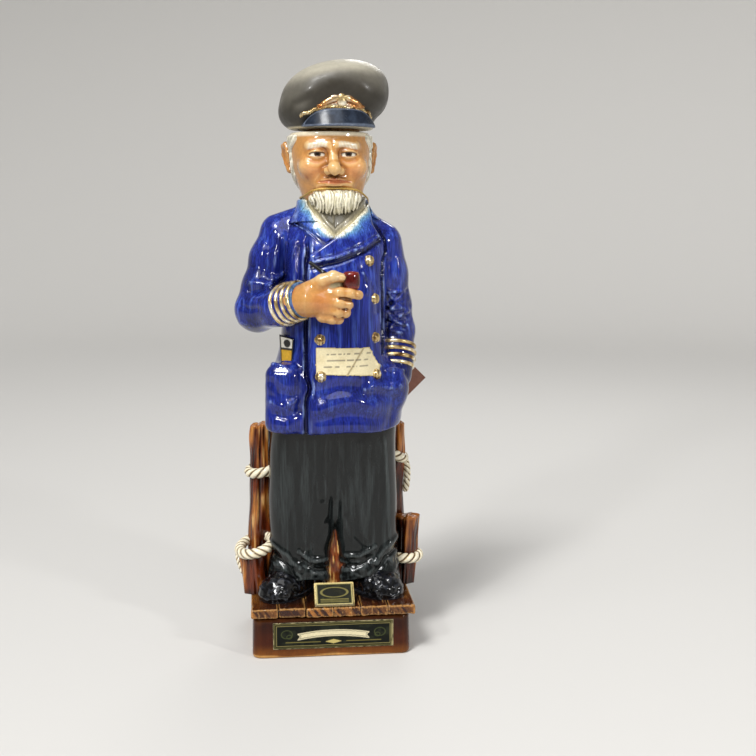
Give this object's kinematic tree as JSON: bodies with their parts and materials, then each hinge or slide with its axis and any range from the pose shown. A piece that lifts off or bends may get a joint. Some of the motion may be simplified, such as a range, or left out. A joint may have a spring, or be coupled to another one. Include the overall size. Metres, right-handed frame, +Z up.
{
  "type": "figural liquor decanter",
  "caption": "Glazed ceramic decanter shaped as a bearded sea captain with a pipe on a dock; the cap is a corked stopper.",
  "frame": {"origin": "middle of the plinth's flat foot", "axes": "+Z up, the figure faces -Y, its own right hand is on the -X side"},
  "size_m": [0.1301, 0.0982, 0.3676],
  "materials": {
    "plinth_glaze": "gloss",
    "deck_glaze": "gloss",
    "trouser_glaze": "gloss",
    "shoe_glaze": "gloss",
    "piling_glaze": "gloss",
    "rope_glaze": "gloss",
    "coat_glaze": "gloss",
    "gold_glaze": "gloss",
    "skin_glaze": "gloss",
    "pipe_glaze": "gloss",
    "stem_glaze": "gloss",
    "shirt_glaze": "gloss",
    "beard_glaze": "gloss",
    "hair_glaze": "gloss",
    "packet_glaze": "gloss",
    "cap_glaze": "gloss",
    "visor_glaze": "gloss",
    "bare_ceramic": "matte",
    "cork": "matte",
    "front_label_paper": "satin",
    "belly_label_paper": "matte",
    "plaque_label_paper": "satin",
    "tag_card": "matte",
    "cord_elastic": "satin"
  },
  "bodies": {
    "decanter": {"plinth": "plinth_glaze", "dock_deck": "deck_glaze", "front_label": "front_label_paper", "deck_plaque": "deck_glaze", "plaque_label": "plaque_label_paper", "right_trouser_leg": "trouser_glaze", "left_trouser_leg": "trouser_glaze", "right_shoe": "shoe_glaze", "left_shoe": "shoe_glaze", "right_tall_piling": "piling_glaze", "right_short_piling": "piling_glaze", "centre_piling": "piling_glaze", "left_tall_piling": "piling_glaze", "left_short_piling": "piling_glaze", "right_upper_rope": "rope_glaze", "right_lower_rope": "rope_glaze", "left_upper_rope": "rope_glaze", "left_lower_rope": "rope_glaze", "coat_skirt": "coat_glaze", "coat_body": "coat_glaze", "coat_chest": "coat_glaze", "coat_yoke": "coat_glaze", "coat_nape": "coat_glaze", "coat_front_panel": "coat_glaze", "coat_collar": "coat_glaze", "left_lapel": "coat_glaze", "right_lapel": "coat_glaze", "left_pocket": "coat_glaze", "right_pocket": "coat_glaze", "left_sleeve": "coat_glaze", "right_sleeve": "coat_glaze", "left_cuff_braid": "gold_glaze", "right_cuff_braid": "gold_glaze", "coat_buttons": "gold_glaze", "right_hand": "skin_glaze", "pipe_bowl": "pipe_glaze", "pipe_stem": "stem_glaze", "tobacco_packet": "packet_glaze", "belly_label": "belly_label_paper", "head": "skin_glaze", "hair": "hair_glaze", "beard": "beard_glaze", "shirt_collar": "shirt_glaze", "tag_cord": "cord_elastic", "tag_knot": "cord_elastic"},
    "stopper": {"stopper_sleeve": "cork"},
    "cap": {"cap_crown": "cap_glaze", "cap_band": "cap_glaze", "cap_visor": "visor_glaze", "cap_braid": "gold_glaze", "cap_badge": "gold_glaze", "stopper_plug": "bare_ceramic"},
    "tag": {"hang_tag": "tag_card"}
  },
  "joints": [
    {"name": "stopper_lift", "type": "slide", "parent": "decanter", "child": "stopper", "axis": [0, 0, 1], "range_m": [0, 0.06]},
    {"name": "cap_turn", "type": "hinge", "parent": "stopper", "child": "cap", "pos_m": [0.004, 0, 0.3253], "axis": [0, 0, 1], "continuous": true},
    {"name": "tag_swing", "type": "hinge", "parent": "decanter", "child": "tag", "pos_m": [0.036, 0.042, 0.1905], "axis": [0, 1, 0], "range_deg": [-35, 35]}
  ]
}
